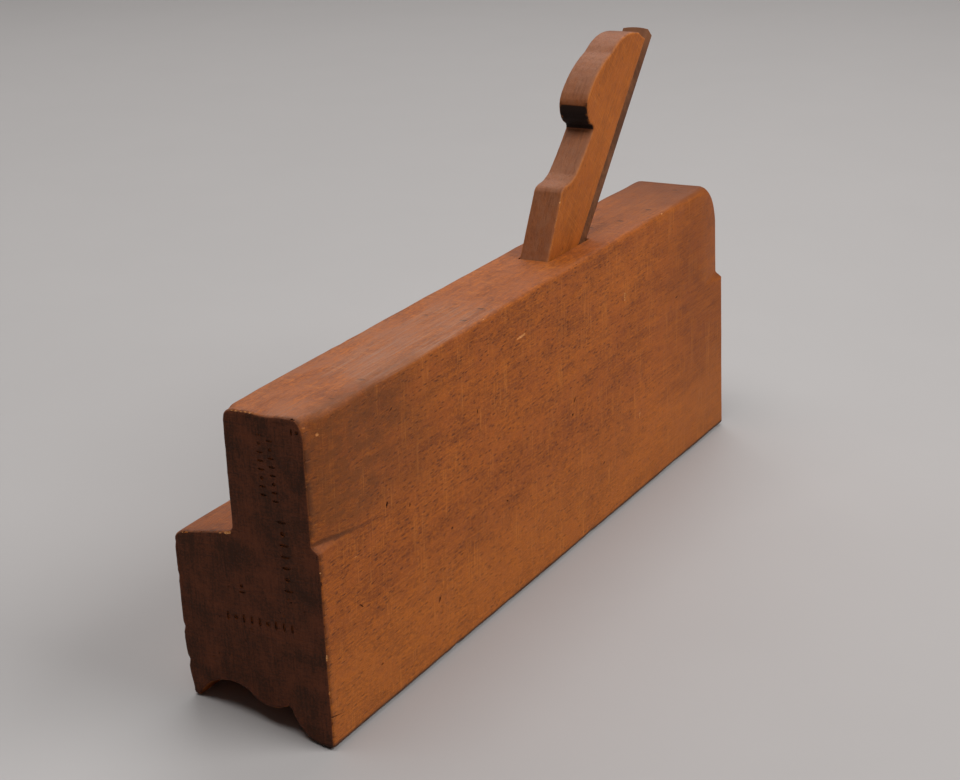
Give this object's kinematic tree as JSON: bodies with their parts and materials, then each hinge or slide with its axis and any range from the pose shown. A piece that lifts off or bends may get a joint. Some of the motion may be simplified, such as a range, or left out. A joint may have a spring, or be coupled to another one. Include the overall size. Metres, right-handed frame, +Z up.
{
  "type": "moulding plane",
  "caption": "Side-escapement wooden moulding plane: stepped beech stock with an ogee sole and fence, a tapered beech wedge and a profiled steel iron.",
  "frame": {"origin": "centre of the bounding box on the plane of the fence's underside", "axes": "+Y from toe to heel, along the stock; +X towards the blind side with the fence; +Z up, from the sole to the top. The throat opens towards -X."},
  "size_m": [0.043, 0.2414, 0.1401],
  "materials": {
    "stock": "aged, handled beech with an old oiled patina",
    "wedge": "aged, handled beech, worn at the head",
    "iron": "forged steel with a brown patina"
  },
  "bodies": {
    "stock_body": {"stock": "stock"},
    "wedge_body": {"wedge": "wedge"},
    "iron_body": {"iron": "iron"}
  },
  "joints": [
    {"name": "wedge_slide", "type": "slide", "parent": "stock_body", "child": "wedge_body", "axis": [0, 0.682, 0.7314], "range_m": [0, 0.08]},
    {"name": "iron_slide", "type": "slide", "parent": "stock_body", "child": "iron_body", "axis": [0, 0.682, 0.7314], "range_m": [-0.18, 0.005]}
  ]
}
